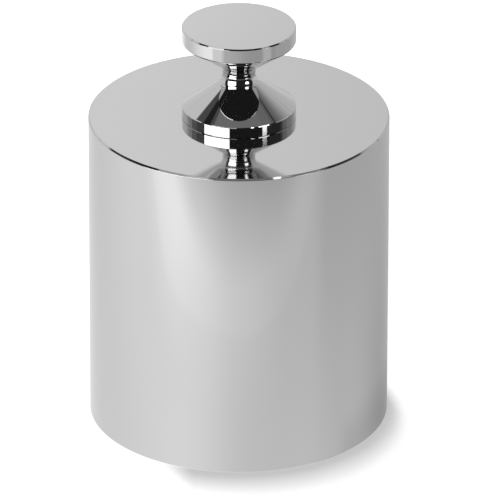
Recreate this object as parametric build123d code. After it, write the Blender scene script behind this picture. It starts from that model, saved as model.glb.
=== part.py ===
from build123d import *
import os
from math import asin, atan2, cos, hypot, sin, sqrt

os.makedirs("parts", exist_ok=True)

# A laboratory weight: a turned steel cylinder with a screwed-in lifting knob.
# Millimetres, +Z up. The origin is the centre of the base, and Z is the axis of every turned face.

# ---- driving dimensions ----
steel_density = 7.95e-6        # kg/mm3, polished austenitic steel

body_diameter = 143.0
body_height = 154.4
body_edge_chamfer = 0.9        # top and bottom edges

knob_diameter = 54.2           # of the foot and of the disc
knob_height = 46.2             # from the body's top face to the top of the disc
foot_height = 5.6              # straight foot, from the seam to the flank
foot_edge_chamfer = 0.3
disc_height = 7.5              # from the flank to the top face
disc_top_chamfer = 0.6
disc_lower_chamfer = 0.5
waist_diameter = 15.6          # the narrowest place between foot and disc
waist_fillet = 6.0             # radius of the hollow that joins the two flanks

thread_diameter = 24.0         # fine thread that holds the knob, plain here at its pitch diameter
thread_pitch = 1.5
thread_clearance = 0.05        # on the radius, between the shank and the tapped wall
shank_length = 24.0
relief_width = 2.5             # turned groove between shank and foot
tapped_depth = 30.0
hole_depth = 83.5              # from the body's top face to the cavity's floor
hole_corner_radius = 0.5       # where the cavity's wall meets its floor

shot_diameter = 5.5            # lengths of round wire, cut to add or take away a few grams
shot_length = 6.0
shot_gap = 0.02                # between one length and the next, and under the lowest

# ---- sizes that follow ----
body_radius = body_diameter / 2
knob_radius = knob_diameter / 2
waist_radius = waist_diameter / 2
shot_radius = shot_diameter / 2
pitch_radius = (thread_diameter - 0.6495 * thread_pitch) / 2
tapped_radius = pitch_radius + thread_clearance
drill_radius = (thread_diameter - thread_pitch) / 2
relief_radius = drill_radius - thread_pitch / 2
disc_underside = knob_height - disc_height
waist_height = (foot_height + disc_underside) / 2
floor_height = body_height - hole_depth


def turned(*outline):
    """The solid that a closed half-section, drawn as radius and height, sweeps round the Z axis."""
    return revolve(Plane.XZ * make_face(Curve() + list(outline)), axis=Axis.Z)


def weight_body():
    """Cylinder with chamfered edges and, from the top, a drilled cavity with a tapped mouth."""
    rim = body_radius - body_edge_chamfer
    shoulder = body_height - body_edge_chamfer
    tap_end = body_height - tapped_depth
    corner = drill_radius - hole_corner_radius
    outside = Polyline((0, floor_height), (0, 0), (rim, 0), (body_radius, body_edge_chamfer),
                       (body_radius, shoulder), (rim, body_height))
    mouth = Polyline((rim, body_height), (tapped_radius + thread_pitch, body_height),
                     (tapped_radius, body_height - thread_pitch), (tapped_radius, tap_end),
                     (drill_radius, tap_end - (tapped_radius - drill_radius)),
                     (drill_radius, floor_height + hole_corner_radius))
    foot_of_wall = RadiusArc((drill_radius, floor_height + hole_corner_radius),
                             (corner, floor_height), hole_corner_radius)
    floor = Line((corner, floor_height), (0, floor_height))
    return turned(outside, mouth, foot_of_wall, floor)


def flank_end(edge_radius, rise):
    """Where the straight flank that starts at an edge, this far from the waist, meets the hollow:
    its radius, and how far from the waist's plane it lies."""
    hollow_centre = waist_radius + waist_fillet
    reach = edge_radius - hollow_centre
    slope = atan2(rise, reach) - asin(waist_fillet / hypot(reach, rise))
    return hollow_centre - waist_fillet * sin(slope), waist_fillet * cos(slope)


def lifting_knob():
    """Foot, waist and disc turned in one piece with the threaded shank that closes the cavity."""
    foot_edge = knob_radius - foot_edge_chamfer
    lower_edge = knob_radius - disc_lower_chamfer
    upper_edge = knob_radius - disc_top_chamfer
    low_radius, low_drop = flank_end(foot_edge, waist_height - foot_height)
    high_radius, high_rise = flank_end(lower_edge, disc_underside - waist_height)
    low_tangent = (low_radius, waist_height - low_drop)
    high_tangent = (high_radius, waist_height + high_rise)
    shank = Polyline((0, knob_height), (0, -shank_length),
                     (pitch_radius - thread_pitch, -shank_length),
                     (pitch_radius, thread_pitch - shank_length),
                     (pitch_radius, relief_radius - pitch_radius - relief_width),
                     (relief_radius, -relief_width), (relief_radius, 0), (foot_edge, 0))
    foot = Polyline((foot_edge, 0), (knob_radius, foot_edge_chamfer),
                    (knob_radius, foot_height - foot_edge_chamfer), (foot_edge, foot_height),
                    low_tangent)
    waist = ThreePointArc(low_tangent, (waist_radius, waist_height), high_tangent)
    disc = Polyline(high_tangent, (lower_edge, disc_underside),
                    (knob_radius, disc_underside + disc_lower_chamfer),
                    (knob_radius, knob_height - disc_top_chamfer),
                    (upper_edge, knob_height), (0, knob_height))
    return Pos(0, 0, body_height) * turned(shank, foot, waist, disc)


def packed_spots(pitch, rows):
    """Centres of equal rounds packed side by side on a plane, one of them on the axis."""
    spots = []
    for row in range(-rows, rows + 1):
        for place in range(-rows, rows + 1):
            spots.append((pitch * (place + row / 2), pitch * row * sqrt(3) / 2))
    return spots


def adjusting_shot():
    """Loose lengths of wire: a close-packed layer stands on the cavity's floor, and a few more
    stand on it wherever three of them carry one."""
    pitch = shot_diameter + shot_gap
    room = drill_radius - hole_corner_radius - shot_radius
    layer = [(x, y) for x, y in packed_spots(pitch, 3) if hypot(x, y) <= room]
    heap = []
    for x, y in packed_spots(pitch, 3):
        spot = (x + pitch / 2, y + pitch / sqrt(12))
        carriers = [one for one in layer if hypot(one[0] - spot[0], one[1] - spot[1]) < pitch]
        if len(carriers) == 3:
            heap.append(spot)
    first_height = floor_height + shot_gap + shot_length / 2
    centres = [Pos(x, y, first_height) for x, y in layer]
    centres += [Pos(x, y, first_height + shot_length + shot_gap) for x, y in heap]
    return Compound([centre * Cylinder(shot_radius, shot_length) for centre in centres])


weight = {
    "weight_body": weight_body(),
    "lifting_knob": lifting_knob(),
    "adjusting_shot": adjusting_shot(),
}
mass = 0.0
for node, shape in weight.items():
    mass += shape.volume * steel_density
    export_step(shape, f"parts/{node}.step")
print(f"finished weight: {mass:.4f} kg")
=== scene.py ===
# %% [markdown]
# # A polished steel calibration weight
# A laboratory weight is about the simplest object there is: a steel cylinder with a knob on top.
# All of its looks come from two things, the exactness of its turned faces and what they mirror.
# So this lesson spends its effort on true profiles with exact normals, on a polish that is real
# but not perfect, and on a studio that gives a mirror something worth reflecting.

# %% Load the fixed frame
from math import asin, atan2, cos, hypot, pi, radians, sin, tan

import bpy
from mathutils import Euler, Matrix, Vector


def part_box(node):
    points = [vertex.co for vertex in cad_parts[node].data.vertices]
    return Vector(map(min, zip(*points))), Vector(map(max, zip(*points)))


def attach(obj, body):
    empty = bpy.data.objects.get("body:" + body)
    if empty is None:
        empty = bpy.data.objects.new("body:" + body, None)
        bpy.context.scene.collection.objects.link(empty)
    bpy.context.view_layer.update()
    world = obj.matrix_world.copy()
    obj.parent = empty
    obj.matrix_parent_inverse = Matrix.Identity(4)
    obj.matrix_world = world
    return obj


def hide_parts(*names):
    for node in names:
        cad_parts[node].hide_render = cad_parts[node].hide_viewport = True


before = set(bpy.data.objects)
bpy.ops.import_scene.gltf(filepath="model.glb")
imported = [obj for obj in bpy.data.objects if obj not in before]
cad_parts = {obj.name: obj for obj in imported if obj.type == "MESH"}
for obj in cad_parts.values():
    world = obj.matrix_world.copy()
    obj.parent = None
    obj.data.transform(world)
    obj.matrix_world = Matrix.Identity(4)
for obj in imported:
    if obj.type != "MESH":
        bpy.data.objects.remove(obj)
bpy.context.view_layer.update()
MM = 0.001
body_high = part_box("weight_body")[1]
knob_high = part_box("lifting_knob")[1]
body_radius = body_high.x
seat_height = body_high.z
knob_radius = knob_high.x
knob_top = knob_high.z
print(f"body {2 * body_radius / MM:.1f} mm across, {seat_height / MM:.1f} mm high")
print(f"knob {2 * knob_radius / MM:.1f} mm across, {(knob_top - seat_height) / MM:.1f} mm high")

# %% [markdown]
# ## Shader maths as Python
# A procedural finish is mostly arithmetic on positions. Wiring it by hand hides the formula, so one
# small class wraps a socket: an expression on it adds the Math nodes, and every other node comes
# from one method that is told its type, its settings and what goes into its sockets.

# %% One class for sockets
class Signal:
    """An output socket of a node tree. Arithmetic on it adds Math nodes."""

    def __init__(self, tree, socket=None):
        self.tree = tree
        self.socket = socket

    def node(self, kind, settings=None, inputs=None, output=0):
        """Adds a node, with its settings first and then the values or links of its sockets."""
        new = self.tree.nodes.new(kind)
        for name, value in (settings or {}).items():
            setattr(new, name, value)
        for name, value in (inputs or {}).items():
            if isinstance(value, Signal):
                self.tree.links.new(value.socket, new.inputs[name])
            else:
                new.inputs[name].default_value = value
        return Signal(self.tree, new.outputs[output] if new.outputs else None)

    def math(self, operation, *values):
        return self.node("ShaderNodeMath", {"operation": operation}, dict(enumerate(values)))

    def split(self):
        """The X, Y and Z of a vector."""
        parts = self.node("ShaderNodeSeparateXYZ", {}, {0: self}).socket.node
        return [Signal(self.tree, socket) for socket in parts.outputs]

    def __add__(self, other):
        return self.math("ADD", self, other)

    def __sub__(self, other):
        return self.math("SUBTRACT", self, other)

    def __rsub__(self, other):
        return self.math("SUBTRACT", other, self)

    def __mul__(self, other):
        return self.math("MULTIPLY", self, other)

    def __truediv__(self, other):
        return self.math("DIVIDE", self, other)

    def __rtruediv__(self, other):
        return self.math("DIVIDE", other, self)

    def __neg__(self):
        return 0 - self

    def __abs__(self):
        return self.math("ABSOLUTE", self)

    __radd__ = __add__
    __rmul__ = __mul__


def root(value):
    return value.math("SQRT", value)


def rise(value, low, high):
    """0 below low, 1 above high, and a smooth climb between them."""
    return value.node("ShaderNodeMapRange", {"interpolation_type": "SMOOTHSTEP"},
                      {"Value": value, "From Min": low, "From Max": high})


def between(value, low, high, edge):
    """1 from low to high and 0 outside, with soft edges this wide."""
    return rise(value, low - edge, low) * (1 - rise(value, high, high + edge))


def blend(first, second, share):
    """The first where share is 0, the second where it is 1."""
    return first * (1 - share) + second * share


# %% [markdown]
# ## Turned pieces
# A lathe cuts a profile, so the mesh is made the same way: a half-section is swept round the axis.
# A subdivided primitive would do for a matt part, but a mirror shows every flaw in the normals. Here
# each corner of the section is rounded by its own small radius, and the normals are worked out from
# the section itself and handed to the mesh, so a flat face stays optically flat up to its edge.

# %% Round the corners of a half-section
ARC_STEP = radians(7.5)


def outward(a, b):
    """The outward normal of a straight cut from a to b, for an outline that runs bottom to top."""
    length = hypot(b[0] - a[0], b[1] - a[1])
    return (b[1] - a[1]) / length, (a[0] - b[0]) / length


def rounded(corners):
    """Points of an outline as (radius, height, normal before, normal after).
    corners are (radius, height, rounding), and the first and last lie on the axis."""
    first = corners[0]
    second = corners[1]
    points = [(first[0], first[1], outward(first, second), outward(first, second))]
    for before, corner, after in zip(corners, corners[1:], corners[2:]):
        into = outward(before, corner)
        out = outward(corner, after)
        turn = atan2(into[0] * out[1] - into[1] * out[0], into[0] * out[0] + into[1] * out[1])
        if corner[2] == 0:
            points.append((corner[0], corner[1], into, out))
            continue
        trim = corner[2] * tan(abs(turn) / 2)
        side = 1 if turn > 0 else -1
        start = (corner[0] + into[1] * trim, corner[1] - into[0] * trim)
        centre = (start[0] - side * into[0] * corner[2], start[1] - side * into[1] * corner[2])
        steps = max(2, round(abs(turn) / ARC_STEP))
        base = atan2(into[1], into[0])
        for step in range(steps + 1):
            angle = base + turn * step / steps
            normal = (cos(angle), sin(angle))
            points.append((centre[0] + side * corner[2] * normal[0],
                           centre[1] + side * corner[2] * normal[1], normal, normal))
    last = corners[-1]
    points.append((last[0], last[1], outward(corners[-2], last), outward(corners[-2], last)))
    return points


# %% Sweep it round the axis
TURN_STEPS = 384


def turned_piece(name, corners):
    """The mesh that a half-section sweeps round Z, with exact normals from the section."""
    outline = rounded(corners)
    angles = [2 * pi * k / TURN_STEPS for k in range(TURN_STEPS)]
    directions = [(cos(angle), sin(angle)) for angle in angles]
    vertices = []
    rings = []
    for radius, height, _, _ in outline:
        if radius == 0:
            rings.append([len(vertices)] * TURN_STEPS)
            vertices.append((0, 0, height))
        else:
            rings.append(list(range(len(vertices), len(vertices) + TURN_STEPS)))
            vertices += [(radius * c, radius * s, height) for c, s in directions]
    faces = []
    normals = []
    for low, high, ring, upper in zip(outline, outline[1:], rings, rings[1:]):
        for k in range(TURN_STEPS):
            after = (k + 1) % TURN_STEPS
            loop = [(ring[k], low[3], k), (ring[after], low[3], after),
                    (upper[after], high[2], after), (upper[k], high[2], k)]
            if ring[0] == ring[1]:
                loop.pop(1)
            elif upper[0] == upper[1]:
                loop.pop(2)
            faces.append([vertex for vertex, _, _ in loop])
            normals += [(n[0] * directions[d][0], n[0] * directions[d][1], n[1]) for _, n, d in loop]
    mesh = bpy.data.meshes.new(name)
    mesh.from_pydata(vertices, [], faces)
    mesh.polygons.foreach_set("use_smooth", [True] * len(mesh.polygons))
    mesh.normals_split_custom_set(normals)
    piece = bpy.data.objects.new(name, mesh)
    bpy.context.scene.collection.objects.link(piece)
    print(f"{name}: {len(outline)} points in the section, {len(faces)} faces")
    return piece


# %% [markdown]
# ## The body
# Its side, ends and edges are turned and then lapped. Small chamfers keep the rim from chipping, and
# their own edges are barely rounded, which is what draws the hair-thin light and dark lines round
# the rim. They could be a bevel modifier. Here they are corners of the section, which leaves width
# and height free: they are a little lower than in the solids, for the line that they draw. The
# cavity is modelled too, although the knob closes it.

# %% Body section
chamfer_width = 0.9 * MM
chamfer_height = 0.7 * MM
edge_rounding = 0.2 * MM
drill_radius = 11.25 * MM
tapped_radius = 11.56 * MM
tapped_depth = 30.0 * MM
hole_depth = 83.5 * MM
hole_rounding = 0.5 * MM
thread_pitch = 1.5 * MM


def body_section():
    rim = body_radius - chamfer_width
    tap_end = seat_height - tapped_depth
    return [
        (0, 0, 0),
        (rim, 0, edge_rounding),
        (body_radius, chamfer_height, edge_rounding),
        (body_radius, seat_height - chamfer_height, edge_rounding),
        (rim, seat_height, edge_rounding),
        (tapped_radius + thread_pitch, seat_height, 0),
        (tapped_radius, seat_height - thread_pitch, 0),
        (tapped_radius, tap_end, 0),
        (drill_radius, tap_end - (tapped_radius - drill_radius), 0),
        (drill_radius, seat_height - hole_depth, hole_rounding),
        (0, seat_height - hole_depth, 0),
    ]


body = turned_piece("turned_body", body_section())
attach(body, "root")
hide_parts("weight_body")

# %% [markdown]
# ## The lifting knob
# Foot, waist and disc are one turned piece with the threaded shank below it. Two straight flanks run
# into a small hollow at the waist. The flanks are mirrors that face each other, so their angle
# decides where the dark underside of the disc shows up in the foot. The outermost ring of the foot
# stands a hair off the body, and that gap is the dark line of the seam.

# %% Knob section
foot_height = 5.6 * MM
foot_chamfer = 0.35 * MM
foot_rounding = 0.05 * MM
seam_gap = 0.06 * MM
seam_depth = 1.5 * MM
disc_height = 7.5 * MM
disc_chamfer_width = 0.5 * MM
disc_chamfer_height = 0.6 * MM
disc_rounding = 0.15 * MM
lower_rounding = 1.1 * MM
waist_radius = 7.8 * MM
waist_fillet = 6.0 * MM
shank_radius = 11.51 * MM
shank_length = 24.0 * MM
relief_radius = 10.5 * MM
relief_width = 2.5 * MM


def knob_section():
    disc_underside = knob_top - disc_height
    foot_top = seat_height + foot_height
    half_gap = (disc_underside - foot_top) / 2
    reach = knob_radius - foot_chamfer - waist_radius - waist_fillet
    slope = atan2(half_gap, reach) - asin(waist_fillet / hypot(half_gap, reach))
    shank_end = seat_height - shank_length
    return [
        (0, shank_end, 0),
        (shank_radius - thread_pitch, shank_end, 0),
        (shank_radius, shank_end + thread_pitch, 0),
        (shank_radius, seat_height - relief_width - (shank_radius - relief_radius), 0),
        (relief_radius, seat_height - relief_width, 0),
        (relief_radius, seat_height, 0),
        (knob_radius - seam_depth, seat_height, 0),
        (knob_radius - seam_depth, seat_height + seam_gap, 0),
        (knob_radius - foot_chamfer, seat_height + seam_gap, foot_rounding),
        (knob_radius, seat_height + seam_gap + foot_chamfer, foot_rounding),
        (knob_radius, foot_top - foot_chamfer, foot_rounding),
        (knob_radius - foot_chamfer, foot_top, foot_rounding),
        (knob_radius - foot_chamfer - half_gap / tan(slope), foot_top + half_gap, waist_fillet),
        (knob_radius, disc_underside + foot_chamfer * tan(slope), lower_rounding),
        (knob_radius, knob_top - disc_chamfer_height, disc_rounding),
        (knob_radius - disc_chamfer_width, knob_top, disc_rounding),
        (0, knob_top, 0),
    ]


knob = turned_piece("turned_knob", knob_section())
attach(knob, "root")
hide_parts("lifting_knob")

# %% [markdown]
# ## Polished steel
# Stainless steel sends back about three fifths of the light. Lapping leaves rings that follow the
# turning, far too fine to see one by one: they only soften a reflection a little. They come from a
# noise on radius and height alone, because that has no seam round the axis, and a second, coarser
# noise makes the polish a little hazier in one place than in another.

# %% Steel finish
STEEL = (0.62, 0.62, 0.62, 1)
RING_SPACING = 0.25 * MM
HAZE_SCALE = 35.0


def blank_material(name):
    """A material without nodes, and the start for adding them."""
    material = bpy.data.materials.new(name)
    material.use_nodes = True
    material.node_tree.nodes.clear()
    return material, Signal(material.node_tree)


def polished_steel(name, roughness, ring_height):
    """Mirror steel with this mean roughness and turning rings of this height in metres."""
    material, start = blank_material(name)
    place = start.node("ShaderNodeTexCoord", output="Object")
    x, y, z = place.split()
    rings = start.node("ShaderNodeCombineXYZ", {}, {0: root(x * x + y * y) / RING_SPACING,
                                                    1: z / RING_SPACING})
    ring_noise = start.node("ShaderNodeTexNoise", {}, {"Vector": rings, "Scale": 1.0, "Detail": 2.0})
    haze = start.node("ShaderNodeTexNoise", {}, {"Vector": place, "Scale": HAZE_SCALE, "Detail": 3.0})
    bump = start.node("ShaderNodeBump", {}, {"Height": ring_noise * ring_height,
                                             "Strength": 1.0, "Distance": 1.0})
    shader = start.node("ShaderNodeBsdfPrincipled", {}, {
        "Base Color": STEEL, "Metallic": 1.0, "Normal": bump,
        "Roughness": roughness * (0.7 + 0.6 * haze)})
    start.node("ShaderNodeOutputMaterial", {}, {"Surface": shader})
    print(f"{name}: roughness {0.7 * roughness:.3f} to {1.3 * roughness:.3f}")
    return material


body.data.materials.append(polished_steel("lapped_body_steel", roughness=0.05, ring_height=2e-8))
knob.data.materials.append(polished_steel("lapped_knob_steel", roughness=0.03, ring_height=1e-8))

# %% [markdown]
# The loose lengths of wire in the cavity are never seen, so their own mesh from the frame is good
# enough. Drawn and cut wire is duller than a lapped face.

# %% Wire finish
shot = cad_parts["adjusting_shot"]
shot.data.materials.clear()
shot.data.materials.append(polished_steel("shot_steel", roughness=0.2, ring_height=1e-8))

# %% [markdown]
# ## The table
# Seen from above, the upright side of the weight mirrors the table, so the side's tone is the table's
# tone. Every place on the table shows up at one place on the side, and light on the table is easiest
# to think of there: as so many degrees round the side and so many millimetres up it. The camera sees
# the table as well and has to see plain white, so two surfaces lie in one plane: this one, which
# only reflections see, and a floor for the camera.

# %% Where the table shows up on the side
WHITE = (1, 1, 1, 1)
IN_DEGREES = 180 / pi
camera_tilt = radians(26.08)
side_radius = body_radius / MM


def seen_on_side(x, y):
    """For a place on the table in mm: its distance from the axis, its bearing, and where it shows
    up on the side, as degrees round from the front and mm up. A place close to the side shows up
    at its own bearing and a distant one at half of it."""
    distance = root(x * x + y * y)
    bearing = x.math("ARCTAN2", x, -y) * IN_DEGREES
    turn = bearing * distance / (2 * distance - side_radius)
    height = (distance - side_radius) * tan(camera_tilt)
    return distance, bearing, turn, height


print(f"the side mirrors the table as far as {seat_height / tan(camera_tilt) / MM:.0f} mm from it")

# %% [markdown]
# The light on the table is painted. Light from soft lamps has soft edges, so each part of it is made
# of smooth steps. The ground is palest at the front left and falls off to the right, by one run of
# steps close to the weight and by another far from it. Well in front it is darker. Two wider sheets of
# painted light lie on top of that.

# %% Light on the table
def ground_light(turn, height, front):
    """Painted light on the table: one run of steps near the weight, another far from it."""
    near = 0.89 + 0.26 * rise(turn, -80, 10) - 0.35 * rise(turn, -27, 8)
    near = near - 0.08 * rise(turn, 26, 45) - 0.23 * rise(turn, 47, 80)
    near = near - 0.11 * rise(turn, 40, 50) * (1 - rise(height, 0, 20))
    far = 0.82 + 0.19 * rise(turn, -75, -42) - 0.16 * rise(turn, -14, 1)
    far = far - 0.21 * rise(turn, -2, 20) - 0.08 * rise(turn, 29, 36)
    return blend(near, far, rise(height, -35, 172)) * (1 - 0.375 * rise(front, 250, 430))


def pool_light(x, front):
    """A soft band of painted light across the front, strongest at the left."""
    edge = 187 - 13 * rise(-x, 50, 200)
    strength = 0.03 + 0.17 * (1 - rise(x, -237, -50))
    return strength * rise(front, edge - 70, edge + 70) * (1 - rise(front, 258, 320))


def sheet_light(x, front):
    """A faint pale sheet of painted light with a crisp near edge."""
    edge = 215 - 40 * rise(-x, 40, 220)
    strength = 0.03 + 0.025 * rise(-x, 120, 300)
    return strength * rise(front, edge - 8, edge + 8) * (1 - rise(x, 250, 330))


# %% [markdown]
# The edge of the disc is upright as well, but it stands higher, so it mirrors a ring of the table
# outside of what the side can see. The light painted on that ring gives the disc's edge its tone.

# %% The ring that the disc mirrors
ring_start = 388
ring_end = 402


def ring_light(bearing):
    """Painted light on the ring: a bright stretch at the left that ends sharply, a dim front and a
    narrow pale bar.
    """
    turn = bearing / 2
    level = 0.79 + 0.26 * (1 - rise(turn, -75, -64)) + 0.48 * rise(turn, -60, -31)
    level = level - 0.33 * rise(turn, -27, -26) - 0.32 * rise(turn, -18.5, -13)
    level = level - 0.17 * rise(turn, -13, 14) + 0.18 * between(turn, 26, 31, 4)
    return level + 0.05 * rise(turn, 35, 41) + 0.1 * rise(turn, 58, 70)


disc_middle = knob_top - disc_height / 2
print(f"the disc's edge mirrors the table {disc_middle / tan(camera_tilt) / MM:.0f} mm from it")

# %% [markdown]
# Put together, with three corrections. The ground has a painted shade under the lower chamfer at the
# right. A strip behind the weight joins the two sides without a seam. Far away everything fades into
# an open floor that is painted pale behind the weight and nearly black in front, where the disc's
# underside sees it.

# %% The tone of the table
def shine(start, level):
    """Ends a material as a white glow of this strength."""
    glow = start.node("ShaderNodeEmission", {}, {"Color": WHITE, "Strength": level})
    start.node("ShaderNodeOutputMaterial", {}, {"Surface": glow})


def painted_table_light():
    """A surface that glows with the painted light and shade of the table at each place."""
    material, start = blank_material("painted_table_light")
    x, y, _ = start.node("ShaderNodeTexCoord", output="Object").split()
    x = x / MM
    y = y / MM
    front = -y
    distance, bearing, turn, height = seen_on_side(x, y)
    level = ground_light(turn, height, front) + pool_light(x, front) + sheet_light(x, front)
    level = blend(level, ring_light(bearing), rise(distance, ring_start, ring_end))
    # painted shade on the table under the lower chamfer at the right
    painted_contact_shade = (1 - rise(distance, side_radius - 0.5, side_radius)) * rise(x, 30, 50)
    level = level * (1 - 0.85 * painted_contact_shade)
    behind = rise(y, 0, 40) * (1 - rise(abs(x), 45, 70))
    level = blend(level, 0.9 - 0.41 * rise(x, -70, 70), behind)
    open_floor = 0.72 - 0.7 * rise(front, -500, 450)
    shine(start, blend(level, open_floor, rise(distance, 445, 700)))
    print(f"painted_table_light: {len(material.node_tree.nodes)} nodes")
    return material


# %% [markdown]
# Two helpers make the flat pieces of the studio. None of these throws a shadow, and matt surfaces
# take no light from them. The table is large, so that a low view does not look past its end.

# %% The table as a piece
def flat_piece(name, corners, material):
    """A piece of the studio with four corners."""
    mesh = bpy.data.meshes.new(name)
    mesh.from_pydata(corners, [], [(0, 1, 2, 3)])
    mesh.materials.append(material)
    piece = bpy.data.objects.new(name, mesh)
    bpy.context.scene.collection.objects.link(piece)
    piece.visible_diffuse = False
    piece.visible_shadow = False
    return piece


def level_plane(name, width, front, back, material):
    """A level piece at the height of the base, this wide and this far to the front and back."""
    corners = [(-width / 2, -front, 0), (width / 2, -front, 0),
               (width / 2, back, 0), (-width / 2, back, 0)]
    return flat_piece(name, corners, material)


# the table glows with painted light and shade and is lit by no lamp
table = level_plane("table", width=16, front=8, back=8, material=painted_table_light())
table.visible_camera = False
print(f"table: {table.dimensions.x:.0f} m wide, {table.dimensions.y:.0f} m deep")

# %% [markdown]
# The camera's floor is white through its own glow and takes a shadow through the light that the
# shadow lamps add. The shadow is only wanted close to the weight and not at its left, so elsewhere
# the glow alone makes full white.

# %% The floor for the camera
full_white = 1.05
shadow_depth = 0.52
floor_paint = (0.05, 0.05, 0.05, 1)


def pale_floor():
    """A glow, with paint that the shadow lamps light and the weight shades."""
    material, start = blank_material("pale_floor")
    x, y, _ = start.node("ShaderNodeTexCoord", output="Object").split()
    x = x / MM
    y = y / MM
    taken = rise(x, -40, -20) * (1 - rise(root(x * x + y * y), 150, 500))
    lit = start.node("ShaderNodeBsdfDiffuse", {}, {"Color": floor_paint})
    fill = start.node("ShaderNodeEmission", {}, {
        "Color": WHITE, "Strength": full_white - shadow_depth * taken})
    both = start.node("ShaderNodeAddShader", {}, {0: lit, 1: fill})
    start.node("ShaderNodeOutputMaterial", {}, {"Surface": both})
    print(f"pale_floor: glow {full_white - shadow_depth:.2f} where it takes the shadow")
    return material


floor = level_plane("floor", width=40, front=20, back=40, material=pale_floor())
floor.visible_glossy = False

# %% [markdown]
# ## Light
# A short soft shadow towards the front right comes from lamps that hang overhead and reach to the
# back left. A lamp one eighth as long as it is high up spreads the shadow of the weight's top edge
# by one eighth of the weight's height. A narrow strong lamp and a wider weak one fade out together
# more softly than one alone. They light only the floor: a mirror shows a lamp and isn't lit by it.

# %% Shadow lamps
lamp_height = 5.0
receivers = bpy.data.collections.new("lit_by_shadow_lamps")
receivers.objects.link(floor)


def shadow_lamp(name, across, along, power):
    """A lamp that reaches this share of its height to the left and to the back."""
    data = bpy.data.lights.new(name, "AREA")
    data.shape = "RECTANGLE"
    data.size = across * lamp_height
    data.size_y = along * lamp_height
    data.energy = power
    lamp = bpy.data.objects.new(name, data)
    bpy.context.scene.collection.objects.link(lamp)
    centre = Vector((-across / 2, along / 2, 1)) * lamp_height
    lamp.location = centre
    lamp.rotation_euler = (-centre).to_track_quat("-Z", "Y").to_euler()
    lamp.visible_glossy = False
    lamp.visible_camera = False
    lamp.light_linking.receiver_collection = receivers
    print(f"{name}: spreads the shadow {along * seat_height / MM:.0f} mm to the front")


shadow_lamp("shadow_lamp", across=0.038, along=0.125, power=1750)
shadow_lamp("wide_shadow_lamp", across=0.07, along=0.2, power=750)

# %% [markdown]
# ## The room
# A mirror shows the room, and the weight is small in it, so the room is a function of direction alone.
# Bearing is 0 towards the camera and grows to the right, climb is 0 at the horizon, and both are in
# degrees. Each turned face looks along its own path through these directions, so what one face
# mirrors can be set apart from what the next one does.
#
# Walls stand behind the weight on both sides. The flank of the foot mirrors them in bands, the dark
# rim of the body in a slanted strip, and the upright foot, by way of the body's top, in one thin band.

# %% The walls
foot_climb = (24.9, 25.8)
rim_slope = 0.72


def left_wall(aside, climb, rim):
    """The left wall, as the flank mirrors it and as the upright foot does."""
    bands = 0.7 * (1 - rise(climb, 43, 45.3)) + 0.07 * (1 - rise(climb, 53, 54.2))
    bands = bands + 0.07 * rise(climb, 60.5, 61.5) + 0.1 * rise(climb, 63.5, 66)
    bands = bands * (1 - 0.95 * rim * (1 - rise(aside, 126, 129)))
    foot = 0.09 + 0.22 * rise(aside, 108, 112) + 0.39 * rise(aside, 116, 138)
    return bands, foot * rise(aside, 75, 76.5)


def right_wall(aside, climb, rim):
    """The right wall, which darkens evenly upwards, as the flank and the foot mirror it."""
    bands = 0.62 - 0.5 * rise(climb, 24, 54) - 0.09 * between(climb, 52.2, 53.2, 1)
    bands = bands + 0.05 * rise(climb, 56, 57.5)
    bands = bands * (1 - 0.85 * rim * (1 - rise(aside, 121, 124)))
    foot = 0.02 + 0.13 * rise(aside, 99.5, 101) + 0.15 * rise(aside, 106, 120)
    foot = foot + 0.32 * rise(aside, 124, 155)
    return bands, foot * rise(aside, 61, 66)


def walls(aside, climb, right):
    """Both walls, and the paler end of the room that the level faces mirror."""
    foot_zone = between(climb, *foot_climb, 0.4)
    rim = between(climb + rim_slope * aside, 124.3, 128.8, 1) * rise(aside, 100, 103)
    left_bands, left_foot = left_wall(aside, climb, rim)
    right_bands, right_foot = right_wall(aside, climb, rim)
    begun = rise(aside, 92, 98)
    left_side = blend(left_bands * begun, left_foot, foot_zone)
    right_side = blend(right_bands * begun, right_foot, foot_zone)
    end_wall = blend(0.19, 0.15, right) * rise(aside, 150, 175) * (1 - rise(climb, 28, 40))
    return blend(left_side, right_side, right) + end_wall


print(f"the upright foot mirrors the walls from {foot_climb[0]} to {foot_climb[1]} degrees up")


# %% [markdown]
# Overhead is a dim ceiling. At the left of the camera hangs a large soft light, which fills the broad
# white field of the upright foot and the white patches of the waist.

# %% Ceiling and soft light
def rim_limit(aside):
    """The climb that parts the view of the body's rim, below, from that of the flank, above."""
    return 98.6 - 0.406 * aside


def ceiling(aside, climb):
    """Even, from just above the rim's view, and only on the camera's side of the room."""
    start = aside.math("MINIMUM", rim_limit(aside) + 1, 66)
    return 0.19 * rise(climb - start, 0, 3) * (1 - rise(aside, 92, 98))


def soft_light(bearing, climb):
    """Bright below and dimmer above, with a slanted top and an inner side that leans away."""
    top = 70 + 0.237 * bearing
    inner_side = -20 - 0.85 * climb.math("MAXIMUM", climb - 30, 0)
    level = 3.6 - 2.5 * rise(climb, 34, 42)
    width = rise(bearing, -74.5, -73) * (1 - rise(bearing, inner_side, inner_side + 1.5))
    return level * width * rise(climb, 0, 2) * (1 - rise(climb, top, top + 3))


# %% [markdown]
# Chamfers look at small stretches of the room that no large face sees. A pale patch or a small lamp
# there draws one dash, on the upper edge of the foot or of the disc or on the rim of the body. One
# lamp near the horizon is for the dots in the hollow of the waist.

# %% Patches and small lamps
LAMP_STRENGTH = 3.0


def patches(bearing, climb, aside):
    """One for the upper edge of the foot and two for the rim of the body."""
    top = rim_limit(aside)
    low_enough = rise(climb, 56, 58) * (1 - rise(climb, top, top + 2))
    foot_edge = 0.5 * between(bearing, -46, -8, 2) * between(climb, 59, 66, 1)
    rim_left = 0.5 * between(bearing, -95, -55, 3) * low_enough
    rim_right = 0.25 * between(bearing, 66, 97, 3) * low_enough
    return foot_edge + rim_left + rim_right


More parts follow.
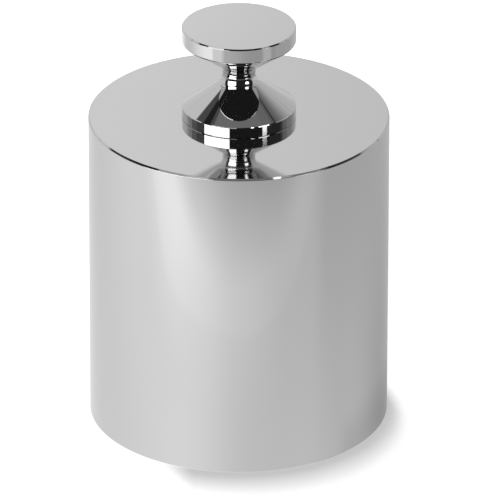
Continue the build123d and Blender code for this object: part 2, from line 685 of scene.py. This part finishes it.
def small_lamps(bearing, climb):
    """Each is a rectangle of directions with soft edges, named for what it draws."""
    foot_dot = LAMP_STRENGTH * between(bearing, 37, 44, 1) * between(climb, 57, 63, 1)
    foot_serif = LAMP_STRENGTH * between(bearing, 57, 80, 1) * between(climb, 49, 58, 1)
    rim_dash = LAMP_STRENGTH * between(bearing, 60, 66, 1) * between(climb, 69, 75, 1)
    waist_dots = LAMP_STRENGTH * between(bearing, 43, 66, 1) * between(climb, 6, 22, 1)
    disc_edge = 0.45 * between(bearing, 53, 72, 3) * between(climb, 40, 47.5, 1)
    return foot_dot + foot_serif + rim_dash + waist_dots + disc_edge


# %% [markdown]
# The camera itself sees none of this: for its own rays the world is plain white.

# %% Room by direction
darkest = 0.02


def room():
    """The world for all rays: the camera's own see plain white and the others see the room."""
    world = bpy.data.worlds.new("room")
    bpy.context.scene.world = world
    world.use_nodes = True
    world.node_tree.nodes.clear()
    start = Signal(world.node_tree)
    x, y, z = start.node("ShaderNodeTexCoord", output="Generated").split()
    bearing = x.math("ARCTAN2", x, -y) * IN_DEGREES
    climb = z.math("ARCSINE", z) * IN_DEGREES
    aside = abs(bearing)
    seen = darkest + walls(aside, climb, rise(x, -0.02, 0.02)) + ceiling(aside, climb)
    seen = seen + soft_light(bearing, climb) + patches(bearing, climb, aside)
    seen = seen + small_lamps(bearing, climb)
    rays = start.node("ShaderNodeLightPath", output="Is Camera Ray")
    light = start.node("ShaderNodeBackground", {}, {
        "Color": WHITE, "Strength": blend(seen, full_white, rays)})
    start.node("ShaderNodeOutputWorld", {}, {"Surface": light})
    print(f"room: {len(world.node_tree.nodes)} nodes")


room()

# %% [markdown]
# The lamp that shows up as a bright upright bar in the foot is a panel at a finite distance, because
# its top edge matters. Above the seam a view meets the foot first and then the body's top, and it
# arrives just below that edge. Below the seam it meets them in the other order and arrives just
# above it, so the bar is dimmer there.

# %% Low lamp panel
panel_bearing = radians(53)
panel_distance = 1.0
panel_width = 0.17
panel_low = 0.20
seam_view_slope = 0.4739
panel_top = seat_height + seam_view_slope * (panel_distance - knob_radius)


def low_lamp():
    half = Vector((cos(panel_bearing), sin(panel_bearing), 0)) * panel_width / 2
    middle = Vector((sin(panel_bearing), -cos(panel_bearing), 0)) * panel_distance
    left = middle - half
    right = middle + half
    corners = [(left.x, left.y, panel_low), (right.x, right.y, panel_low),
               (right.x, right.y, panel_top), (left.x, left.y, panel_top)]
    material, start = blank_material("low_lamp")
    shine(start, LAMP_STRENGTH)
    panel = flat_piece("low_lamp", corners, material)
    panel.visible_camera = False
    print(f"low_lamp: from {panel_low:.2f} to {panel_top:.2f} m high")


low_lamp()

# %% [markdown]
# ## Camera
# A long lens from well back, tilted down, so the upright sides hardly converge.

# %% Camera
camera_distance = 4.2
aim_height = 82.93 * MM
camera_turn = radians(0.0819)
camera_roll = radians(0.116)
focal_length = 633.0
sensor_width = 36


def long_lens_camera():
    data = bpy.data.cameras.new("camera")
    data.sensor_width = sensor_width
    data.lens = focal_length
    data.clip_end = 100
    camera = bpy.data.objects.new("camera", data)
    bpy.context.scene.collection.objects.link(camera)
    camera.location = (0, -camera_distance * cos(camera_tilt),
                       aim_height + camera_distance * sin(camera_tilt))
    facing = Euler((pi / 2 - camera_tilt, 0, -camera_turn)).to_matrix()
    camera.rotation_euler = (facing @ Matrix.Rotation(camera_roll, 3, "Z")).to_euler()
    bpy.context.scene.camera = camera
    print(f"camera {camera.location.z:.2f} m above the table")


long_lens_camera()
bpy.context.scene.view_settings.view_transform = "Standard"
